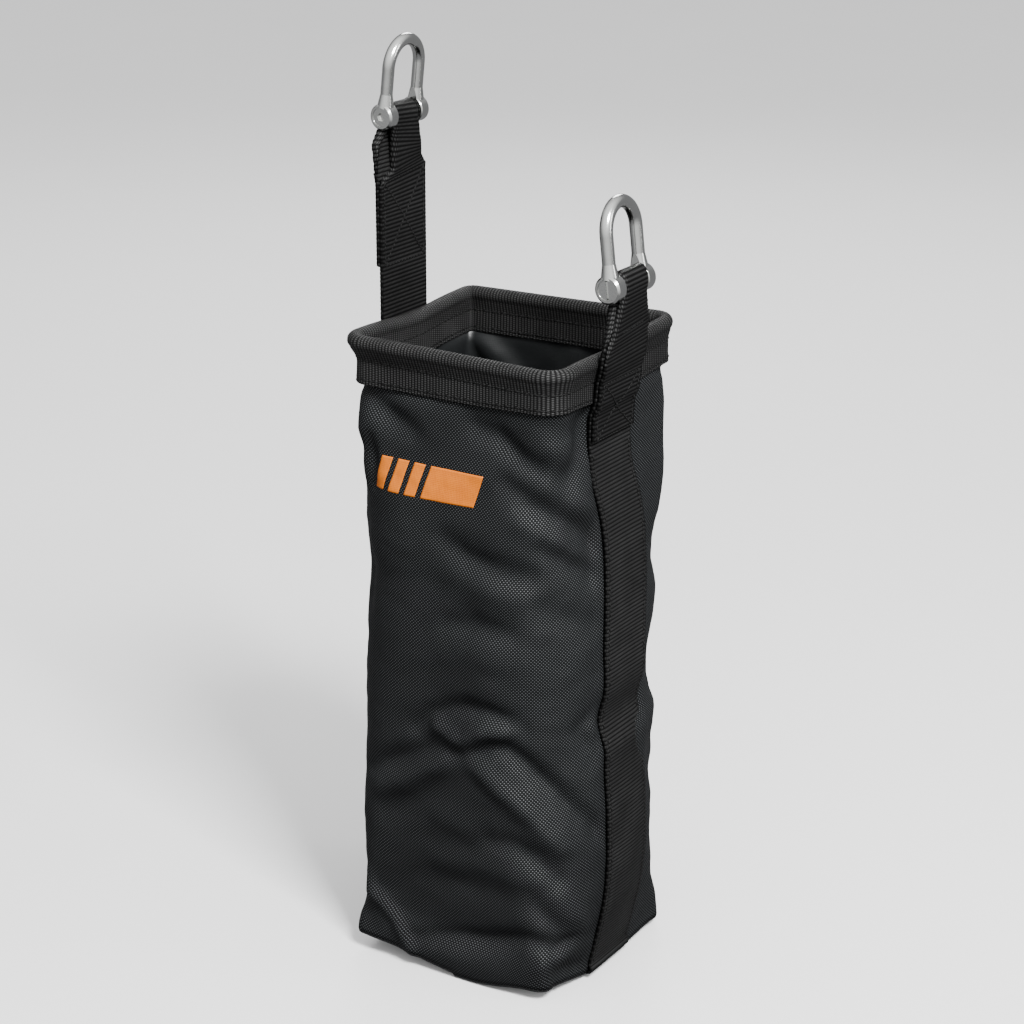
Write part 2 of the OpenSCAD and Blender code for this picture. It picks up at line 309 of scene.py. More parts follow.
def make_outer_cloth():
    n = Nodes("coated_weave")
    height, over = basket_weave(n)
    patches = n.noise(14.0, 4.0)
    dust = n.noise(90.0, 2.0)
    yarn = n.mix(patches, grey(0.042, (0.92, 1, 1.06)), grey(0.062, (0.92, 1, 1.06)))
    # Painted highlight on the yarns' crowns, brightest where the warp lies on top, and painted
    # shade, near black, in the gaps between the yarns.
    crown = n.math("POWER", height, 1.5)
    lit = n.math("MULTIPLY", crown, n.math("MULTIPLY_ADD", over, 0.85, 0.15))
    colour = n.mix(lit, grey(0.0015), yarn)
    colour = n.mix(n.math("MULTIPLY", dust, 0.04), colour, grey(0.05))
    rough = n.math("MULTIPLY_ADD", patches, 0.16, 0.4)
    return n.finish(Base_Color=colour, Roughness=rough, Normal=n.bump(height, 0.22 * MM, 0.9),
                    Specular_IOR_Level=n.math("MULTIPLY", lit, 0.6))


def make_inner_coating():
    n = Nodes("inner_coating")
    soft = n.noise(45.0, 4.0)
    height, _ = basket_weave(n)
    colour = n.mix(soft, grey(0.006, (0.9, 1, 1.05)), grey(0.012, (0.9, 1, 1.05)))
    crumple = n.math("MULTIPLY", n.noise(24.0, 2.0), 6.0)
    relief = n.math("ADD", n.math("MULTIPLY_ADD", height, 0.15, soft), crumple)
    return n.finish(Base_Color=colour, Roughness=n.math("MULTIPLY_ADD", soft, 0.2, 0.33),
                    Normal=n.bump(relief, 0.25 * MM, 0.7), Specular_IOR_Level=0.5)


def make_webbing(name, dark, light, rib, cord, edge=1.0):
    """Ribbed webbing. v of the UV map runs over the ribs, and u along them. The ribs' crowns carry
    a painted highlight over painted shade in the hollows, and slow bands of painted shade run along
    it. The darker selvedge starts at edge from the middle, and is partly painted shade along the
    webbing's edge; webbing whose edges are out of sight has none."""
    n = Nodes(name)
    u, v = n.cloth_uv()
    fuzz = n.noise(900.0, 2.0)
    row = n.math("FLOOR", n.math("DIVIDE", v, rib))
    shift = n.math("MULTIPLY", n.math("PINGPONG", row, 1.0), 0.5)
    along_rib = n.math("ADD", n.math("DIVIDE", u, cord), shift)
    bead = n.math("ABSOLUTE", n.math("SINE", n.math("MULTIPLY", along_rib, math.pi)))
    across = n.math("SINE", n.math("MULTIPLY", n.math("FRACT", n.math("DIVIDE", v, rib)), math.pi))
    height = n.math("MULTIPLY", across, n.math("MULTIPLY_ADD", bead, 0.75, 0.25))
    patches = n.noise(60.0, 4.0, 0.6)
    # Slow bands of painted shade along the webbing, where it would buckle and turn from the light,
    # dim the crowns.
    buckle_shade_noise = n.noise(11.0, 3.0, 0.6)
    painted_buckle_shade = n.ramp(buckle_shade_noise, [(0.25, 0.45), (0.7, 1)])
    # Painted highlight: the ribs' crowns are light and the hollows between them dark. The patches
    # break it up into scratchy glints, and the slow bands of painted shade dim it.
    crown = n.math("MULTIPLY", n.ramp(height, [(0.35, 0), (0.95, 1)]), painted_buckle_shade)
    colour = n.mix(crown, grey(dark), n.mix(patches, grey(light * 0.5), grey(light * 2.8)))
    colour = n.mix(n.math("MULTIPLY", fuzz, 0.12), colour, grey(light * 2))
    # The selvedge is darker: partly its own colour and partly painted shade along the webbing's
    # edge.
    selvedge = n.math("GREATER_THAN", n.math("ABSOLUTE", u), edge)
    colour = n.mix(n.math("MULTIPLY", selvedge, 0.75), colour, grey(dark))
    shine = n.math("MULTIPLY_ADD", height, 0.2, 0.02)
    return n.finish(Base_Color=colour, Roughness=n.math("MULTIPLY_ADD", fuzz, 0.2, 0.42),
                    Normal=n.bump(height, 0.35 * MM, 0.9), Specular_IOR_Level=shine)


def make_thread():
    n = Nodes("bonded_thread")
    u, v = n.cloth_uv()
    twist = n.math("SINE", n.math("MULTIPLY", n.math("ADD", u, v), 2 * math.pi / (0.5 * MM)))
    colour = n.mix(n.noise(400.0), grey(0.003), grey(0.01))
    return n.finish(Base_Color=colour, Roughness=n.math("MULTIPLY_ADD", twist, 0.05, 0.42),
                    Normal=n.bump(twist, 0.06 * MM, 0.6), Specular_IOR_Level=0.15)


def make_steel(name, value, roughness, grain):
    """Plated steel: bright, with faint cloudy patches and fine tumbling marks."""
    n = Nodes(name)
    cloud = n.noise(120.0, 4.0)
    fine = n.noise(grain, 3.0, 0.7)
    colour = n.mix(cloud, grey(value, (0.98, 1, 0.985)), grey(value * 0.82, (1, 1, 0.96)))
    rough = n.math("MULTIPLY_ADD", fine, 0.12, roughness)
    relief = n.math("MULTIPLY_ADD", cloud, 0.6, fine)
    return n.finish(Base_Color=colour, Metallic=1.0, Roughness=rough,
                    Normal=n.bump(relief, 0.08 * MM, 0.35))


def make_print():
    n = Nodes("screen_print")
    fresh, faded, in_hollows = (0.68, 0.175, 0.0, 1), (0.57, 0.14, 0.0, 1), (0.5, 0.09, 0.003, 1)
    height, _ = basket_weave(n)
    wear = n.noise(220.0, 4.0, 0.7)
    colour = n.mix(n.ramp(wear, [(0.3, 0), (0.62, 1)]), fresh, faded)
    # Painted shade: the ink is darker in the weave's hollows.
    hollow = n.math("MULTIPLY", n.math("SUBTRACT", 1.0, height), 0.25)
    colour = n.mix(hollow, colour, in_hollows)
    return n.finish(Base_Color=colour, Roughness=n.math("MULTIPLY_ADD", wear, 0.2, 0.35),
                    Normal=n.bump(height, 0.12 * MM, 0.6), Specular_IOR_Level=0.45)


def make_floor():
    n = Nodes("pale_floor")
    colour = n.mix(n.noise(3.0), grey(0.9), grey(0.93))
    return n.finish(Base_Color=colour, Roughness=0.75, Specular_IOR_Level=0.2)


outer_cloth = make_outer_cloth()
inner_coating = make_inner_coating()
strap_webbing = make_webbing("strap_webbing", 0.001, 0.016, RIB, 1.3 * MM, edge=22.6 * MM)
band_webbing = make_webbing("band_webbing", 0.003, 0.026, BAND_RIB, 1.3 * MM)
seam_tape = make_webbing("seam_tape", 0.003, 0.018, 1.4 * MM, 0.9 * MM)
thread = make_thread()
shackle_steel = make_steel("shackle_steel", 0.74, 0.13, 700.0)
hoop_steel = make_steel("hoop_steel", 0.6, 0.3, 500.0)
print_ink = make_print()


# ------------ camera and light

def place_camera():
    """The photograph's view: from the right and above, with a long lens."""
    azimuth, elevation = math.radians(32.4), math.radians(19.5)
    aim = Vector((0.0008, 0, 0.294))
    back = Vector((math.sin(azimuth) * math.cos(elevation),
                   -math.cos(azimuth) * math.cos(elevation), math.sin(elevation)))
    data = bpy.data.cameras.new("camera")
    data.lens = 87.9
    camera = bpy.data.objects.new("camera", data)
    camera.location = aim + back * 1.544
    camera.rotation_mode = "QUATERNION"
    camera.rotation_quaternion = (-back).to_track_quat("-Z", "Y")
    bpy.context.scene.collection.objects.link(camera)
    bpy.context.scene.camera = camera


def area_light(name, place, aim, size, power):
    data = bpy.data.lights.new(name, "AREA")
    data.shape = "RECTANGLE"
    data.size, data.size_y = size
    data.energy = power
    light = bpy.data.objects.new(name, data)
    light.location = place
    light.rotation_mode = "QUATERNION"
    light.rotation_quaternion = (Vector(aim) - Vector(place)).to_track_quat("-Z", "Y")
    bpy.context.scene.collection.objects.link(light)


def place_lights():
    """A soft dome that is bright above and to the front, and three soft boxes."""
    aim = (0, 0, 0.3)
    area_light("key", (1.25, -0.75, 1.75), aim, (0.55, 0.55), 112)
    area_light("side", (1.7, 0.5, 0.9), aim, (0.3, 0.9), 5)
    area_light("back", (-1.0, 1.8, 1.6), aim, (0.8, 0.8), 20)
    world = bpy.data.worlds.new("studio")
    world.use_nodes = True
    tree = world.node_tree
    sky = tree.nodes["Background"]
    coords = tree.nodes.new("ShaderNodeTexCoord")
    towards = tree.nodes.new("ShaderNodeVectorMath")
    towards.operation = "DOT_PRODUCT"
    towards.inputs[1].default_value = (0.28, -0.5, 0.82)
    tree.links.new(coords.outputs["Generated"], towards.inputs[0])
    ramp = tree.nodes.new("ShaderNodeValToRGB")
    tree.links.new(towards.outputs["Value"], ramp.inputs[0])
    low, high = ramp.color_ramp.elements
    low.position, low.color = 0.0, (0.16, 0.16, 0.165, 1)
    high.position, high.color = 0.85, (1, 1, 1, 1)
    tree.links.new(ramp.outputs[0], sky.inputs[0])
    sky.inputs[1].default_value = 1.5
    bpy.context.scene.world = world


def place_floor():
    """A wide pale floor. It takes the bag's shadow, but throws no light back up on the cloth."""
    half, count = 14.0, 24
    line = np.linspace(-half, half, count)
    verts = [(x, y, 0) for y in line for x in line]
    floor = make_object("floor", verts, grid_faces(count, count), [make_floor()])
    floor.visible_diffuse = False
    floor.visible_glossy = False


# ------------ the soft wall

# Corners, in the order in which the wall is drawn: front right, front left, rear left, rear right.
# Each is the corner's radius, in millimetres, against height.
CORNERS = [
    [(0, 7), (25, 14), (60, 30), (110, 46), (200, 60), (290, 52), (345, 34), (381, 15), (420, 14)],
    [(0, 2), (25, 5), (60, 15), (110, 24), (180, 40), (270, 54), (310, 48), (350, 22), (381, 11),
     (420, 10)],
    [(0, 3), (25, 8), (60, 22), (120, 42), (200, 56), (290, 48), (345, 22), (381, 7), (420, 6)],
    [(0, 3), (25, 8), (45, 22), (75, 44), (110, 54), (180, 62), (235, 52), (290, 22), (345, 14),
     (381, 9), (420, 9)],
]
# Height of the wall's lower edge in millimetres: at the same corners, and between them
BOTTOM_AT_CORNER = [8.5, 13.5, 11, 6]
BOTTOM_AT_SEAM = 4.6
BOTTOM_AT_FACE = 2.6

# How each strap strays from a straight line, in millimetres against height: sideways and outwards
SHORT_WANDER = [(0, 0), (45, 0), (158, 0), (250, 0), (310, 0), (335, -5), (375, -6), (400, -4),
                (430, -1), (600, 0)]
SHORT_BUCKLE = [(0, 0), (118, 0.3), (150, 0.8), (160, 1.2), (180, -3.6), (200, 1.2), (228, 1.3),
                (255, 2.2), (290, 1.8), (318, 0), (335, -1.5), (352, -1.5), (375, 0), (600, 0)]
LONG_WANDER = [(0, 2), (90, -2), (180, -3), (280, 2), (360, 0), (600, 0)]
LONG_BUCKLE = [(0, 0), (100, 1.0), (150, -1), (220, 1), (300, -1.2), (350, 0.6), (400, 0),
               (600, 0)]

# How far the lower part of the bag leans out on the short strap's side, in millimetres against
# height, and how far round the wall it does so, in quarter turns
BELLY = [(0, 0.5), (10, 1.6), (27, 5), (53, 8.6), (86, 8.8), (118, 6), (150, 1.5), (175, 0),
         (420, 0)]
BELLY_REACH = 0.42

# The base's corners that stand out as ears: place round the wall in quarter turns, direction, and
# how far out and how high they reach in millimetres
EARS = [(1.47, (-1, -1), 2.4, 30), (2.53, (-1, 1), 2.6, 32), (3.47, (1, 1), 1.6, 34)]

# Folds, in millimetres: the line that each follows over the wall, as (distance round the wall from
# the middle of its face, height), then its width, and its depth outwards. Hollows are negative.
FRONT_FOLDS = [
    # under the binding
    ([(-69, 375), (-52, 369), (-39, 363), (-28, 359)], 8, -5.0),
    ([(-74, 352), (-56, 352)], 9, 2.5),
    ([(18, 367), (32, 365), (48, 355), (60, 349)], 7, -4.8),
    ([(60, 366), (84, 352)], 8, 2.2),
    ([(97, 375), (91, 357), (83, 343), (79, 331)], 9, -5.0),
    ([(-57, 349), (-56, 322)], 4, -2.5),
    ([(-66, 350), (-65, 318)], 5, 2.0),
    # across the upper half
    ([(40, 337), (59, 325), (78, 315), (97, 301), (112, 287)], 8, -4.8),
    ([(66, 336), (96, 319)], 8, 2.2),
    ([(46, 318), (84, 296)], 8, 2.0),
    ([(-1, 297), (14, 289), (33, 285), (55, 281)], 8, -4.2),
    ([(4, 276), (50, 266)], 9, 1.6),
    ([(64, 299), (79, 289), (99, 277), (110, 273)], 7, -3.6),
    ([(1, 245), (21, 247), (43, 245)], 8, -3.4),
    ([(60, 262), (100, 246)], 9, -2.2),
    ([(0, 228), (50, 226)], 10, 1.8),
    ([(-72, 292), (-66, 240)], 7, -1.8),
    # the star and the folds that run out of it
    ([(-22, 171), (-12, 181), (1, 189), (14, 193), (28, 193), (42, 189), (51, 183)], 6, -4.2),
    ([(-8, 175), (2, 169), (12, 168), (26, 177), (37, 180), (47, 183)], 6, 4.8),
    ([(5, 160), (17, 164), (32, 170), (42, 169), (51, 163), (63, 151), (77, 137), (89, 123),
      (107, 105)], 7, -5.6),
    ([(16, 158), (29, 150), (44, 138), (55, 128), (65, 116), (74, 106)], 7, 4.6),
    ([(-58, 133), (-28, 149), (-3, 165)], 7, -3.8),
    ([(-49, 121), (-32, 131), (-12, 145), (2, 156)], 7, 4.2),
    ([(-44, 106), (-22, 120), (0, 140)], 9, -2.6),
    ([(101, 191), (89, 179), (98, 161)], 7, -3.6),
    # towards the base
    ([(29, 107), (48, 105), (62, 97), (72, 85)], 7, -3.6),
    ([(-5, 109), (30, 113)], 8, 1.6),
    ([(-9, 81), (21, 87), (61, 85)], 8, 1.9),
    ([(-10, 68), (58, 70)], 9, -1.8),
    ([(60, 67), (80, 43)], 6, -2.6),
    ([(72, 72), (94, 46)], 7, 2.2),
    ([(-27, 21), (-1, 29), (25, 33), (54, 43), (84, 39)], 6, -4.8),
    ([(-64, 57), (-62, 43), (-53, 39), (-43, 31), (-35, 19), (-30, 11)], 4, 3.4),
    ([(-73, 40), (-60, 22)], 8, -3.6),
    ([(65, 31), (70, 9)], 4, 3.0),
    ([(85, 39), (65, 33)], 5, -2.6),
    ([(72, 20), (104, 12)], 7, -3.0),
]
REAR_FOLDS = [
    ([(-80, 384), (-40, 356)], 8, -4.5),
    ([(70, 384), (34, 352)], 8, -4.8),
    ([(-10, 380), (10, 340)], 9, -2.7),
    ([(-50, 320), (20, 292)], 9, -3.9),
    ([(-40, 306), (30, 276)], 9, 2.7),
    ([(60, 300), (96, 268)], 9, -3.6),
    ([(-60, 240), (0, 262)], 9, -3.0),
    ([(20, 236), (80, 196)], 9, -3.9),
    ([(10, 222), (66, 182)], 8, 3.0),
    ([(-70, 200), (-20, 160)], 9, -4.5),
    ([(-60, 186), (-8, 146)], 7, 3.9),
    ([(-10, 150), (60, 134)], 7, -4.5),
    ([(-14, 140), (56, 122)], 7, 3.9),
    ([(-8, 146), (-50, 96)], 8, -3.6),
    ([(30, 110), (70, 70)], 8, -3.3),
    ([(-66, 84), (-30, 60)], 8, 2.4),
    ([(-66, 50), (-44, 14)], 5, 3.6),
    ([(64, 50), (46, 14)], 5, 3.6),
]


def fold_relief(s, z, folds):
    """Sum of the folds at places on one face, in millimetres. Each one fades towards its ends."""
    total = np.zeros(np.broadcast(s, z).shape)
    for points, width, depth in folds:
        lengths = [math.dist(a, b) for a, b in zip(points, points[1:])]
        nearest = np.full(total.shape, 1e9)
        place = np.zeros(total.shape)
        before = 0.0
        for (s0, z0), (s1, z1), length in zip(points, points[1:], lengths):
            t = np.clip(((s - s0) * (s1 - s0) + (z - z0) * (z1 - z0)) / length ** 2, 0, 1)
            gap = np.hypot(s - s0 - t * (s1 - s0), z - z0 - t * (z1 - z0))
            closer = gap < nearest
            place = np.where(closer, before + t * length, place)
            nearest = np.where(closer, gap, nearest)
            before += length
        swell = 0.6 + 0.4 * np.sin(place / before * math.pi)
        total += depth * swell * np.exp(-(nearest / width) ** 2)
    return total


def quarter_path(a, b, r, f):
    """A point and normal on a quarter outline from (a, 0) round a corner of radius r to (0, b)."""
    first, last = b - r, a - r
    d = f * (first + math.pi / 2 * r + last)
    angle = np.clip((d - first) / r, 0, math.pi / 2)
    x = np.where(d < first, a, a - r + r * np.cos(angle))
    y = np.where(d < first, d, b - r + r * np.sin(angle))
    after = np.maximum(d - first - math.pi / 2 * r, 0)
    x = x - after
    return x, y, np.cos(angle), np.sin(angle)


# From a quarter's own x and y to the bag's: front right, front left, rear left, rear right
QUARTER_TURNS = [
    lambda p, q: (p, -q),
    lambda p, q: (-q, -p),
    lambda p, q: (-p, q),
    lambda p, q: (q, p),
]


def corner_radii(z_mm):
    return [along(z_mm, points) for points in CORNERS]


def corner_slack(radii):
    """How far the faces stand out, in metres, on the cloth that rounder corners leave over."""
    return (1 - math.pi / 4) * (sum(radii) / 4 - 14) * MM


def wall_point(turn, z, relief=True):
    """Places on the wall's outer face, and the ways out of it, level. turn counts quarter turns
    round the bag, from the short strap past the front; z is the height in metres."""
    turn, z = np.broadcast_arrays(np.asarray(turn, float), np.asarray(z, float))
    turn = turn % 4
    z_mm = z / MM
    radii = corner_radii(z_mm)
    slack = np.maximum(corner_slack(radii), 0)
    half_w = wall_x + wall_t / 2 + slack
    half_d = wall_y + wall_t / 2 + slack
    out = np.zeros(turn.shape + (3,))
    normal = np.zeros(turn.shape + (3,))
    for quarter, to_world in enumerate(QUARTER_TURNS):
        inside = np.floor(turn).astype(int) == quarter
        if not inside.any():
            continue
        a, b = (half_w, half_d) if quarter % 2 == 0 else (half_d, half_w)
        r = radii[quarter] * MM
        f = turn[inside] - quarter
        x, y, nx, ny = quarter_path(a[inside], b[inside], r[inside], f)
        out[inside, 0], out[inside, 1] = to_world(x, y)
        normal[inside, 0], normal[inside, 1] = to_world(nx, ny)
    out[..., 2] = z
    if relief:
        out += normal * (wall_relief(turn, z_mm) * MM)[..., None]
        out += pinch(turn, z_mm)
        out[..., 2] += rim_lift(out[..., 0], out[..., 1]) * smooth(z_mm, 300, band_z / MM)
    return out, normal


# How far the front left and rear right corners stand out: place round the wall in quarter turns,
# then millimetres against height. Each fades over STRETCH_REACH quarter turns on both sides.
STRETCH_REACH = 0.34
STRETCH = [
    (1.52, [(0, 0), (25, 2.2), (38, 1.6), (52, -0.8), (82, -0.6), (104, -1.6), (137, -2.8),
            (158, -2.6), (190, -2.0), (212, -1.9), (234, -0.4), (256, 0.4), (266, 1.2), (277, 3.6),
            (288, 5.0), (315, 3.6), (330, 2.4), (342, 0.2), (353, 0.8), (364, 2.2), (374, 2.0),
            (382, -0.4), (387, -0.6), (400, 1.6)]),
    (3.55, [(0, 0), (22, -1.6), (33, -1.6), (55, 0.2), (77, 1.2), (110, 2.4), (121, 2.2),
            (132, 4.6), (143, 5.6), (154, 7.2), (165, 7.4), (176, 3.4), (187, 0.8), (210, 0.6),
            (232, 1.8), (243, 1.4), (265, -5.0), (276, -5.6), (298, -2.8), (320, -0.5), (342, 1.4),
            (364, 2.8), (374, 3.4), (381, 1.6), (400, 1.6)]),
]


def rim_lift(x, y):
    """The rim isn't level: it rises to the rear, and the strap draws it down on both sides."""
    a, b = np.clip(x / wall_x, -1, 1), np.clip(y / wall_y, -1, 1)
    lift = 3.65 - 0.15 * a + 2.15 * b + 1.35 * a * b
    drawn_down = 2.6 * smooth(np.abs(a), 0.9, 1) * bump(y, 0, 30 * MM)
    return (lift - drawn_down) * MM


def round_distance(turn):
    """Distance round the wall, in millimetres, from the middle of the front face: + is rightwards.
    The rear face gives its own distance, from its own middle."""
    from_front = (1 - turn) * GIRTH / 4 / MM
    from_rear = (3 - turn) * GIRTH / 4 / MM
    return np.where(turn < 2, from_front, from_rear)


def wall_relief(turn, z_mm):
    """Folds, slack and fine creasing, in millimetres outwards. The hoop, strap and base hold it."""
    s = round_distance(turn)
    held_top = 1 - smooth(z_mm, band_z / MM - 6, band_z / MM + 2)
    strap = 1 - smooth(np.abs(np.abs(s) - GIRTH / 4 / MM), 22, 32)
    free = held_top * (1 - 0.85 * strap)
    folds = np.where(turn < 2, fold_relief(s, z_mm, FRONT_FOLDS), fold_relief(s, z_mm, REAR_FOLDS))
    lip = 5.5 * bump(z_mm, 15, 15) * np.cos(np.clip(s / 78, -1, 1) * math.pi / 2)
    slack = 1.1 * waves(s * MM, z_mm * MM, 3, 3, 0.11) + 0.3 * waves(s * MM, z_mm * MM, 5, 3, 0.03)
    free_part = free * (folds + slack * smooth(z_mm, 0, 30))
    on_left = np.abs(turn % 4 - 2) < 1
    buckle = np.where(on_left, along(z_mm, LONG_BUCKLE), along(z_mm, SHORT_BUCKLE))
    stretch = sum(along(z_mm, table) * bump(turn, where, STRETCH_REACH) for where, table in STRETCH)
    lean = rim_lean(turn, z_mm * MM) / MM * smooth(z_mm, 368, band_z / MM)
    belly = along(z_mm, BELLY) * bump(np.abs((turn + 2) % 4 - 2), 0, BELLY_REACH)
    return free_part + lip + held_top * strap * buckle + stretch + belly + lean


def pinch(turn, z_mm):
    """The base's corners: three stand out as ears, and the front right one is tucked in."""
    move = np.zeros(turn.shape + (3,))
    for where, (dx, dy), reach, height in EARS:
        close = bump(turn, where, 0.1) * bump(z_mm, 0, height) * reach * MM
        move[..., 0] += dx * close
        move[..., 1] += dy * close
    tuck = bump(turn, 0.5, 0.24) * bump(z_mm, 0, 26) * MM
    move[..., 0] -= 9.5 * tuck
    move[..., 1] += 1.0 * tuck
    return move


def bottom_height(turn):
    """Height of the wall's lower edge, in metres: highest at the corners, and sagging between."""
    turn = np.asarray(turn, float) % 4
    quarter = np.floor(turn).astype(int)
    f = turn - quarter
    corner = np.take(BOTTOM_AT_CORNER, quarter)
    seam_first = quarter % 2 == 0
    start = np.where(seam_first, BOTTOM_AT_SEAM, BOTTOM_AT_FACE)
    end = np.where(seam_first, BOTTOM_AT_FACE, BOTTOM_AT_SEAM)
    start_of_rise = np.where(quarter == 1, -0.2, 0.1)
    rise = np.where(f < 0.5, smooth(f, start_of_rise, 0.5), 1 - smooth(f, 0.5, 0.92))
    side = np.where(f < 0.5, start, end)
    return (side + (corner - side) * rise) * MM


def base_rise(x):
    """The base turns up at both ends of the strap that runs under it."""
    return 3.4 * MM * smooth(np.abs(x), 30 * MM, 72 * MM)


def make_wall_panel(name, replaced, first, last, columns=176, rows=136):
    """One half of the bag's wall, from seam to seam."""
    turns = np.linspace(first, last, columns)
    low = bottom_height(turns)[None, :]
    heights = low + np.linspace(0, 1, rows)[:, None] * (hoop_z - bulb_r - low)
    points, _ = wall_point(np.clip(turns, first, last - 1e-6)[None, :], heights)
    verts = points.reshape(-1, 3)
    faces = [tuple(reversed(face)) for face in grid_faces(rows, columns)]
    obj = make_object(name, verts, faces, [outer_cloth, inner_coating])
    u = np.broadcast_to(turns * GIRTH / 4, heights.shape)
    put_uv(obj.data, np.stack([u, heights], -1).reshape(-1, 2))
    thicken(obj, wall_t, -1, inner_slot=1)
    hand_over(obj, "bag", replaced)


def make_base():
    """The base panel: it meets the wall's lower edge all round and lies on the strap."""
    columns, rings = 352, 40
    turns = np.linspace(0, 4, columns, endpoint=False)
    edge, _ = wall_point(turns, bottom_height(turns))
    edge = edge * [0.996, 0.996, 1]
    middle = base_z + 0.6 * MM
    rows = []
    for ring in range(rings):
        k = 1 - ring / rings
        row = edge * k
        on_strap = 1 - smooth(np.abs(row[:, 1]), 25 * MM, 30 * MM)
        flat = on_strap * (middle + base_rise(row[:, 0])) + (1 - on_strap) * (wall_t + 0.5 * MM)
        ripple = 0.4 * MM * waves(row[:, 0], row[:, 1], 11, 3, 0.06) * smooth(ring, 2, 10)
        rise = smooth(k, 0.72, 1)
        row[:, 2] = (edge[:, 2] + 0.2 * MM) * rise + (flat + np.maximum(ripple, 0)) * (1 - rise)
        rows.append(row)
    verts = np.concatenate(rows + [np.array([[0, 0, middle]])])
    faces = grid_faces(rings, columns, wrap_cols=True)
    last = (rings - 1) * columns
    faces += [(last + c, last + (c + 1) % columns, rings * columns) for c in range(columns)]
    obj = make_object("base_cloth", verts, faces, [inner_coating, outer_cloth])
    put_uv(obj.data, verts[:, :2])
    thicken(obj, wall_t, 1)
    hand_over(obj, "bag", "base_panel")


# ------------ the rim

def rim_path(count):
    """Points, outward directions, lifts and distances round the wall's middle line at the rim."""
    turns = np.linspace(0, 4, count, endpoint=False)
    face, normal = wall_point(turns, rim_z + 0 * turns, relief=False)
    out = sum(table[-1][1] * bump(turns, where, STRETCH_REACH) for where, table in STRETCH) * MM
    points = (face + normal * (out[:, None] - wall_t / 2))[:, :2]
    step = np.linalg.norm(np.roll(points, -1, 0) - points, axis=1)
    distance = np.concatenate([[0], np.cumsum(step)[:-1]])
    return points, normal[:, :2], rim_lift(points[:, 0], points[:, 1]), distance, step.sum()


def rim_lean(turns, z):
    """The binding leans in below its bead at the front left, in metres outwards."""
    return -3.2 * MM * bump(turns, 1.5, 0.5) * smooth(z, hoop_z - 1 * MM, hoop_z - 13 * MM)


def band_hang(turns, distance):
    """The binding's lower edge isn't quite level, in metres: it is highest at the front right."""
    wander = 0.6 * waves(distance, distance * 0, 23, 2, 0.12)
    return (wander + 2.8 * bump(turns, 0.5, 0.32) - 1.3 * bump(turns, 1.4, 0.4)) * MM


def rim_section():
    """Outline of the folded binding about the wall's middle line, as (outwards, height): its
    visible skin, and the two faces that hold the wall between them."""
    foot = hoop_z - 12 * MM
    outer = [(BAND_LEG + 0.3 * MM, band_z), (BAND_LEG + 0.5 * MM, band_z + 0.5 * MM)]
    outer += [(BAND_LEG + 0.4 * MM * math.exp(-(z - band_z) / (4 * MM)), z)
              for z in np.linspace(band_z + 1.5 * MM, foot, 12)]
    start = math.radians(-38)
    end_x, end_z = bulb_r * math.cos(start), hoop_z + bulb_r * math.sin(start)
    for t in np.linspace(0, 1, 8)[1:-1]:
        ease = float(smooth(t, 0, 1))
        waist = 0.25 * MM * math.sin(math.pi * t)
        outer.append((BAND_LEG + (end_x - BAND_LEG) * ease - waist, foot + (end_z - foot) * t))
    bead = [(bulb_r * math.cos(a), hoop_z + bulb_r * math.sin(a))
            for a in np.linspace(start, math.pi - start, 23)]
    inner = [(-x, z) for x, z in reversed(outer)]
    slot = wall_t / 2 + 0.05 * MM
    top = hoop_z - bulb_r - 1.2 * MM
    hem = [(-slot, band_z + 0.4 * MM), (-slot, top), (slot, top), (slot, band_z + 0.4 * MM)]
    return outer + bead + inner, hem


def offset_ring(points, normals, reach, z):
    """The rim's line moved outwards by reach, at height z."""
    x = points[:, 0] + normals[:, 0] * reach
    y = points[:, 1] + normals[:, 1] * reach
    return np.stack([x, y, z], -1)


def make_binding():
    """The webbing folded over the wall's edge, with its ribs, its puckers and its uneven hem."""
    count = 4 * round(GIRTH / BAND_RIB)
    points, normals, lift, distance, length = rim_path(count)
    turns = np.linspace(0, 4, count, endpoint=False)
    skin, hem = rim_section()
    section = np.array(skin + hem)
    path_len = np.concatenate([[0], np.cumsum(np.linalg.norm(np.diff(section, axis=0), axis=1))])
    before, after = np.roll(section, 1, 0), np.roll(section, -1, 0)
    tangent = unit(after - before)
    out = np.stack([tangent[:, 1], -tangent[:, 0]], -1)
    on_skin = (np.arange(len(section)) < len(skin)).astype(float)
    rib = 0.07 * MM * np.cos(2 * math.pi * distance / (length / round(length / BAND_RIB)))
    puckers = 0.5 * MM * waves(distance, distance * 0, 21, 3, 0.05)
    hang = band_hang(turns, distance)
    rows = []
    for k, (offset, height) in enumerate(section):
        low = math.exp(-((height - band_z) / (12 * MM)) ** 2)
        move = on_skin[k] * (rib + puckers * low)
        r = offset + move * out[k, 0] + rim_lean(turns, height)
        z = height + lift + move * out[k, 1] + hang * low
        rows.append(offset_ring(points, normals, r, z))
    verts = np.concatenate(rows)
    faces = grid_faces(len(section), count, wrap_rows=True, wrap_cols=True)
    obj = make_object("folded_binding", verts, faces, [band_webbing])
    uv = [(path_len[k], d) for k in range(len(section)) for d in distance]
    put_uv(obj.data, uv, length)
    hand_over(obj, "bag", "rim_binding")
    make_hoop(points, normals, lift)


def make_hoop(points, normals, lift):
    """The steel hoop, bent with the rim. It is shut in the binding's bead."""
    rings = []
    for a in np.linspace(0, 2 * math.pi, 16, endpoint=False):
        z = hoop_z + lift + hoop_r * math.sin(a)
        rings.append(offset_ring(points, normals, hoop_r * math.cos(a), z))
    faces = grid_faces(len(rings), len(points), wrap_rows=True, wrap_cols=True)
    obj = make_object("bent_hoop", np.concatenate(rings), faces, [hoop_steel])
    hand_over(obj, "bag", "rim_hoop")


# ------------ straps

ACROSS_STRAP = np.linspace(-STRAP_CLOTH / 2, STRAP_CLOTH / 2, 33)


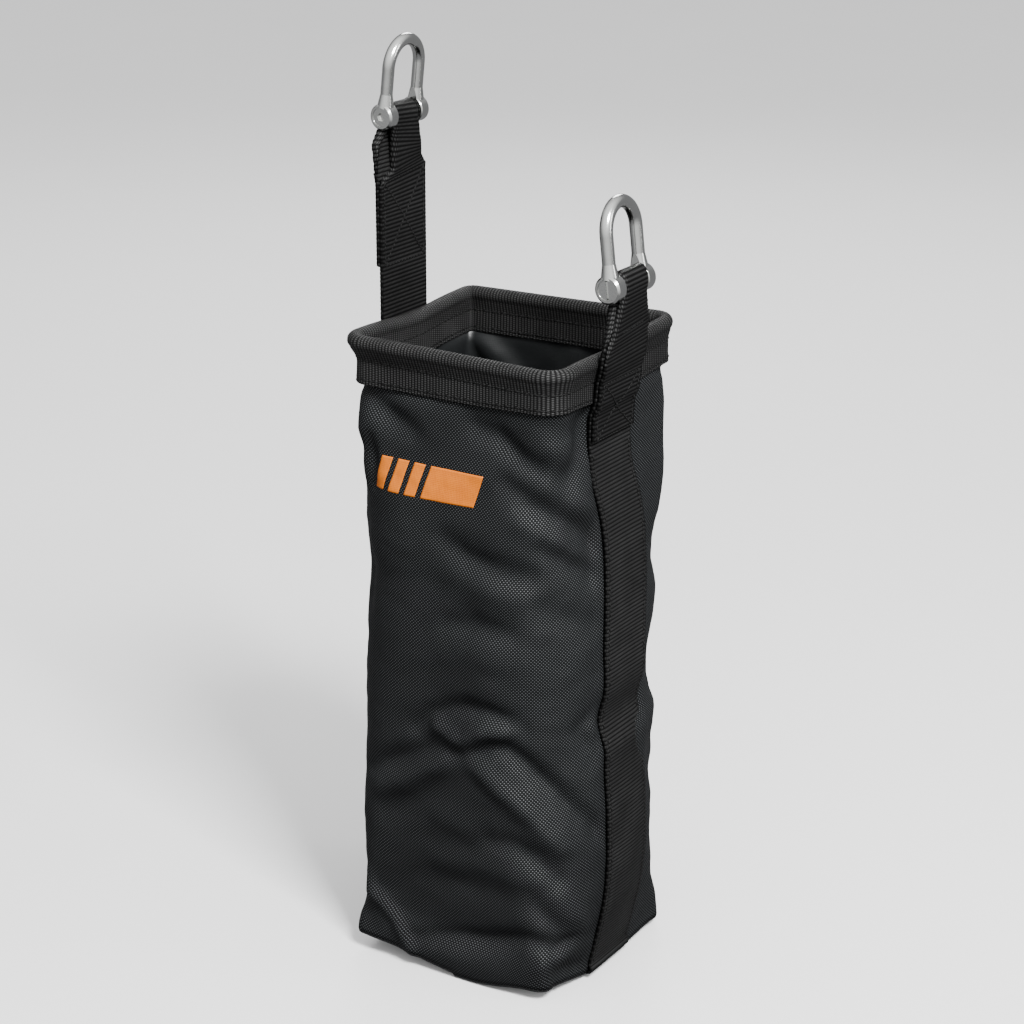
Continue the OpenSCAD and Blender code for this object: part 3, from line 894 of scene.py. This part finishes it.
def folded_section(width, turn_r=1.5 * MM):
    """The webbing folded in from both edges to a width, as (across, inwards) points."""
    if STRAP_CLOTH <= width + 0.4 * MM:
        return ACROSS_STRAP, 0 * ACROSS_STRAP
    side, d = np.sign(ACROSS_STRAP), np.abs(ACROSS_STRAP)
    flat = width / 2 - turn_r
    angle = np.clip((d - flat) / turn_r, 0, math.pi)
    back = np.maximum(d - flat - math.pi * turn_r, 0)
    across = np.where(d < flat, d, flat + turn_r * np.sin(angle)) - back
    inward = np.where(d < flat, 0, turn_r * (1 - np.cos(angle)))
    return side * across, inward


def strap_mesh(name, side, stations):
    """Webbing through stations of (centre, outward, width, tilt), ribbed over its length. outward
    is out of the eye's loop: towards the bag on the near ply."""
    rows, uv = [], []
    distance = 0.0
    previous = stations[0][0]
    for centre, outward, width, tilt in stations:
        distance += np.linalg.norm(centre - previous)
        previous = centre
        across, inward = folded_section(width)
        rib = 0.13 * MM * math.cos(2 * math.pi * distance / RIB)
        row = centre + np.outer(across, [0, 1, 0]) - np.outer(inward - rib, outward)
        row[:, 0] -= side * strap_droop(row[:, 1], float(centre[2]), side)
        rows.append(row + np.outer(across * tilt, [0, 0, 1]))
        uv += [(x, distance) for x in ACROSS_STRAP]
    rows = np.array(rows)
    faces = grid_faces(len(rows), len(ACROSS_STRAP))
    obj = make_object(name, rows.reshape(-1, 3), faces, [strap_webbing])
    put_uv(obj.data, uv)
    thicken(obj, STRAP_T, 0)
    return obj


def resample(points, step):
    """Even steps along a line of (x, z) points that has first been rounded by averaging."""
    points = np.array(points, float)
    gaps = np.linalg.norm(np.diff(points, axis=0), axis=1)
    d = np.concatenate([[0], np.cumsum(gaps)])
    finer, reach = 4, 24
    fine = np.arange(0, d[-1], step / finer)
    kernel = np.hanning(2 * reach + 1)
    kernel /= kernel.sum()
    rounded = []
    for values in points.T:
        padded = np.pad(np.interp(fine, d, values), reach, mode="edge")
        rounded.append(np.convolve(padded, kernel, "valid"))
    return np.stack(rounded, -1)[::finer]


def side_face_x(z):
    """Distance of the wall's outer face from the middle of the bag, on the strap's side."""
    return wall_x + wall_t / 2 + corner_slack(corner_radii(np.asarray(z) / MM))


def strap_droop(y, z, side):
    """How far the wall curves away beside the middle of the strap, where the strap is sewn on."""
    radii = corner_radii(z / MM)
    front, rear = (radii[0], radii[3]) if side > 0 else (radii[1], radii[2])
    r = np.where(y < 0, front, rear) * MM
    corner_start = wall_y + wall_t / 2 + corner_slack(radii) - r
    past = np.clip(np.abs(y) - corner_start, 0, 0.9 * r)
    sewn = smooth(z, 12 * MM, 50 * MM) * (1 - smooth(z, band_z - 60 * MM, band_z - 5 * MM))
    droop = (r - np.sqrt(r * r - past * past)) * sewn
    if side > 0:
        droop = droop + along(z / MM, BELLY) * (1 - bump(y / (GIRTH / 4), 0, BELLY_REACH)) * MM
    return droop


def inner_ply_x(z):
    """Inner face of the strap's first ply: on the wall, then out over the binding and its bead."""
    wall = side_face_x(z) + 0.3 * MM
    band = wall_x + wall_t / 2 + 2.4 * MM
    bead = wall_x + bulb_r + 0.4 * MM
    over_band = smooth(z, band_z - 6 * MM, band_z + 2 * MM)
    over_bead = smooth(z, hoop_z - 10 * MM, hoop_z - 1 * MM)
    x = wall * (1 - over_band) + band * over_band
    return x * (1 - over_bead) + bead * over_bead


def strap_route(pin, side, tail_end, pin_r, rise):
    """Points (x, z) of the webbing's middle: under the base, up, over the pin and down its tail.
    The loop stands above the pin by rise times its radius."""
    half = STRAP_T / 2
    route = [(x, PLY / 2 + float(base_rise(x))) for x in np.linspace(0, 71, 30) * MM]
    lift = float(base_rise(72 * MM))
    route += [(73.2 * MM, lift + 1.6 * MM), (73.9 * MM, lift + 3.2 * MM)]
    eye_foot = pin.z - 34 * MM
    up = np.arange(lift + 6 * MM, eye_foot, 3 * MM)
    route += [(float(inner_ply_x(z)) + half, z) for z in up]
    radius = pin_r + 0.3 * MM + half
    for angle in np.linspace(math.pi, 0, 13):
        over_pin = pin.z + radius * rise * math.sin(angle)
        route.append((abs(pin.x) + radius * math.cos(angle), over_pin))
    down = np.arange(eye_foot, tail_end, -3 * MM)
    route += [(float(inner_ply_x(z)) + PLY + half, z) for z in down]
    return [(side * x, z) for x, z in route]


# Shape of each eye, against height in millimetres from the pin, for the ply next to the bag and
# the ply away from it: folded width, sideways shift and slant
LONG_EYE = {
    "near": [(-60, 50, 0, 0.0), (-38, 50, 0, 0.1), (-31, 29, 5, 0.16), (-16, 27, 3, -0.16),
             (-2, 23, 0, -0.08), (20, 23, 0, 0.0)],
    "far": [(-60, 50, 0, 0), (-40, 50, 0, 0), (-16, 38, -5.5, 0), (-2, 23, 0, 0), (20, 23, 0, 0)],
}
SHORT_EYE = {
    "near": [(-60, 50, 0, 0), (-42, 50, -1, 0), (-20, 36, 0, 0), (-4, 25, 0, 0), (20, 25, 0, 0)],
    "far": [(-60, 50, 0, 0), (-42, 50, -1, 0.05), (-28, 41, 2, 0.1), (-6, 25, 0, 0.05),
            (20, 25, 0, 0)],
}


def eye_shape(rows, from_pin):
    """Folded width, shift and slant at a height from the pin, in millimetres."""
    heights, *columns = zip(*rows)
    return [float(np.interp(from_pin, heights, column)) for column in columns]


def make_strap(name, route, pin, side, eye, wander, buckle):
    """One side's strap, from the middle of the base to its tail. It bends at the rim."""
    path = resample(route, RIB / 4)
    forward = unit(np.gradient(path, axis=0))
    apex = int(np.argmax(path[:, 1]))
    stations = []
    for i, ((x, z), (fx, fz)) in enumerate(zip(path, forward)):
        on_side = float(smooth(z, 4 * MM, 30 * MM))
        width, shift, tilt = eye_shape(eye["near" if i < apex else "far"], (z - pin.z) / MM)
        y = (float(along(z / MM, wander)) * on_side + shift) * MM
        push = float(along(z / MM, buckle)) * MM * on_side
        if side > 0:
            push += float(along(z / MM, BELLY)) * MM * float(smooth(x, 55 * MM, 74 * MM))
        outward = np.array([-fz * side, 0, fx * side])
        centre = np.array([x + side * push, y, z])
        stations.append((centre, outward, width * MM, tilt))
    obj = strap_mesh(name, side, stations)
    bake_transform(obj)
    return obj, (stations[:apex], stations[apex:])


# One stitch, as rings along it: place from end to end, radius and height in thread radii
STITCH_RINGS = [(0.1, 0.5, -0.25), (0.22, 1, 0.1), (0.5, 1.05, 0.25), (0.78, 1, 0.1),
                (0.9, 0.5, -0.25)]
STITCH_SIDES = 6
THREAD_R = 0.42 * MM


def stitch_rows(name, rows, replaced, body):
    """Rows of stitches: each row is a line of (place, outward) samples a stitch length apart."""
    verts, faces = [], []
    tube = grid_faces(len(STITCH_RINGS), STITCH_SIDES, wrap_cols=True)
    tube.append(tuple(reversed(range(STITCH_SIDES))))
    tube.append(tuple((len(STITCH_RINGS) - 1) * STITCH_SIDES + c for c in range(STITCH_SIDES)))
    for row in rows:
        for (a, out), (b, _) in zip(row, row[1:]):
            step = b - a
            length = np.linalg.norm(step)
            if length < 0.5 * MM:
                continue
            forward = step / length
            up = unit(out - forward * np.dot(out, forward))
            side = np.cross(forward, up)
            base = len(verts)
            for t, size, lift in STITCH_RINGS:
                for angle in np.linspace(0, 2 * math.pi, STITCH_SIDES, endpoint=False):
                    ring = side * math.cos(angle) + up * math.sin(angle)
                    verts.append(a + step * t + up * lift * THREAD_R + ring * THREAD_R * size)
            faces += [tuple(base + i for i in face) for face in tube]
    obj = make_object(name, verts, faces, [thread])
    put_uv(obj.data, [(v[0] + v[1], v[2]) for v in verts])
    hand_over(obj, body, replaced)


def on_strap(ply, z, across, sign):
    """A place on one ply of a strap, and the way off it. A sign of -1 is the face inside the eye's
    loop: away from the bag on the near ply, and towards it on the far one."""
    heights = np.array([station[0][2] for station in ply])
    centre, outward, _, tilt = ply[int(np.argmin(np.abs(heights - z)))]
    side = math.copysign(1, centre[0])
    off = sign * (STRAP_T / 2 + 0.1 * MM)
    place = centre + np.array([0, across, across * tilt]) + outward * off
    place[0] -= side * float(strap_droop(place[1], centre[2], side))
    return place, outward * sign


def strap_line(ply, start, end, sign):
    """Samples along a straight line from (across, height) to (across, height) on one ply."""
    (y0, z0), (y1, z1) = start, end
    count = max(2, round(math.hypot(y1 - y0, z1 - z0) / STITCH) + 1)
    return [on_strap(ply, z0 + (z1 - z0) * t, y0 + (y1 - y0) * t, sign)
            for t in np.linspace(0, 1, count)]


def box_with_cross(ply, low, high, half):
    """The box of stitches, crossed from corner to corner, that holds a splice."""
    corners = [(-half, low), (half, low), (half, high), (-half, high)]
    pairs = [(0, 1), (1, 2), (2, 3), (3, 0), (0, 2), (1, 3)]
    return [strap_line(ply, corners[a], corners[b], 1) for a, b in pairs]


def make_straps():
    head_low, head_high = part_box("short_shackle_pin")
    short_r = (head_high.z - head_low.z) / 3        # the shank is two thirds of its head across
    long_r = short_r * 0.93
    long_tail = long_pin.z - 93 * MM
    long_piece, (long_near, long_far) = make_strap(
        "long_webbing", strap_route(long_pin, -1, long_tail, long_r, 1.25),
        long_pin, -1, LONG_EYE, LONG_WANDER, LONG_BUCKLE)
    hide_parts("load_strap", "long_strap_upper")
    short_piece, (short_near, short_far) = make_strap(
        "short_webbing", strap_route(short_pin, 1, tail_z, short_r, 1.7),
        short_pin, 1, SHORT_EYE, SHORT_WANDER, SHORT_BUCKLE)
    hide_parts("load_strap", "short_strap_upper", "short_strap_tail")

    edge = STRAP_CLOTH / 2 - 3 * MM         # the rows run this far from the strap's middle
    rows = [strap_line(ply, (across, 12 * MM), (across, tail_z - 6 * MM), -1)
            for ply in (long_near, short_near) for across in (-edge, edge)]
    stitch_rows("strap_edge_threads", rows, "strap_edge_stitching", "bag")
    rows = box_with_cross(short_far, tail_z + 3 * MM, band_z + 14 * MM, edge)
    stitch_rows("short_splice_threads", rows, "short_splice_stitching", "bag")
    low, high = long_tail + 3 * MM, long_pin.z - 37 * MM
    rows = box_with_cross(long_far, low, high, edge) + box_with_cross(long_near, low, high, edge)
    stitch_rows("long_splice_threads", rows, "long_splice_stitching", "long_strap")
    z = fold_z + 12 * MM
    rows = [strap_line(ply, (-12 * MM, z), (12 * MM, z), 1) for ply in (short_far, short_near)]
    stitch_rows("short_eye_threads", rows, "short_eye_stitching", "short_strap")


# ------------ print, tapes and rim threads

def turn_at(s_mm):
    """Place round the wall for a distance from the middle of the front face."""
    return 1 - s_mm * MM / (GIRTH / 4)


def make_mark():
    """Slanted bars of ink, a thin skin that lies on the cloth."""
    low, high = mark_low.z, mark_high.z
    left = mark_low.x / MM - 5          # the cloth goes round the corner sooner than the CAD does
    right = mark_high.x / MM
    slant = (high - low) / MM / 3
    gap, bar = 4, 8
    bars = [(left + i * (bar + gap), bar) for i in range(3)]
    bars.append((left + 3 * (bar + gap), right - left - 3 * (bar + gap) - slant))
    verts, faces, uv = [], [], []
    for start, width in bars:
        columns, rows = round(width / 0.8), 20
        v = np.linspace(0, 1, rows)[:, None]
        s = start + np.linspace(0, 1, columns)[None, :] * width + v * slant
        z = low + v * (high - low) + 0 * s
        points, _ = wall_point(turn_at(s), z)
        lifted = points + 0.12 * MM * surface_normals(points)
        base = len(verts)
        verts += [tuple(p) for p in lifted.reshape(-1, 3)]
        uv += [(GIRTH / 4 - a * MM, b) for a, b in zip(s.ravel(), z.ravel())]
        faces += [tuple(base + i for i in face) for face in grid_faces(rows, columns)]
    obj = make_object("printed_bars", verts, faces, [print_ink])
    put_uv(obj.data, uv)
    thicken(obj, 0.18 * MM, 0)
    hand_over(obj, "bag", "printed_mark")


def make_tape(name, replaced, turns, heights):
    """A tape sewn to the inside of the wall."""
    tape_t = 1.2 * MM
    depth = wall_t + tape_t / 2 + 0.1 * MM
    points, _ = wall_point(turns[None, :], heights[:, None])
    points = points + surface_normals(points) * depth
    rows, columns = len(heights), len(turns)
    faces = [tuple(reversed(face)) for face in grid_faces(rows, columns)]
    obj = make_object(name, points.reshape(-1, 3), faces, [seam_tape])
    put_uv(obj.data, [(z, turn * GIRTH / 4) for z in heights for turn in turns])
    thicken(obj, tape_t, 0)
    hand_over(obj, "bag", replaced)


def make_seam_tapes():
    half = 9 * MM / (GIRTH / 4)
    heights = np.linspace(15 * MM, band_z - 2 * MM, 100)
    make_tape("left_seam_tape", "left_seam_binding", np.linspace(2 - half, 2 + half, 12), heights)
    make_tape("right_seam_tape", "right_seam_binding", np.linspace(-half, half, 12), heights)
    heights = np.linspace(14 * MM, 23 * MM, 6)
    make_tape("base_seam_tape", "base_seam_binding", np.linspace(0, 4, 353), heights)


def make_rim_threads():
    """Two lines of stitches through the binding, inside and out: under the bead, and by the hem."""
    count = round(GIRTH / STITCH)
    points, normals, lift, distance, _ = rim_path(count)
    hang = band_hang(4 * np.arange(count) / count, distance)
    lines = [("rim_threads_upper", hoop_z - 10 * MM, 0.1, BAND_LEG + 0.15 * MM),
             ("rim_threads_lower", band_z + 3 * MM, 0.95, BAND_LEG + 0.45 * MM)]
    for name, z, follow, reach in lines:
        rows = []
        for side in (-1, 1):
            row = []
            for i in list(range(count)) + [0]:
                out = np.array([normals[i, 0] * side, normals[i, 1] * side, 0])
                lean = side * float(rim_lean(4 * i / count, z))
                height = z + lift[i] + follow * hang[i]
                place = np.array([points[i, 0], points[i, 1], height]) + out * (reach + lean)
                row.append((place, out))
            rows.append(row)
        stitch_rows(name, rows, name.replace("threads", "stitching"), "bag")


def finish_shackles():
    """The shackles are the CAD's own, in steel."""
    for name in ("long_shackle_bow", "long_shackle_pin", "short_shackle_bow", "short_shackle_pin"):
        for material_slot in frame["nodes"][name].material_slots:
            material_slot.material = shackle_steel


place_camera()
place_lights()
place_floor()
make_wall_panel("front_cloth", "front_shell", 0, 2)
make_wall_panel("rear_cloth", "rear_shell", 2, 4)
make_base()
make_binding()
make_straps()
make_mark()
make_seam_tapes()
make_rim_threads()
finish_shackles()
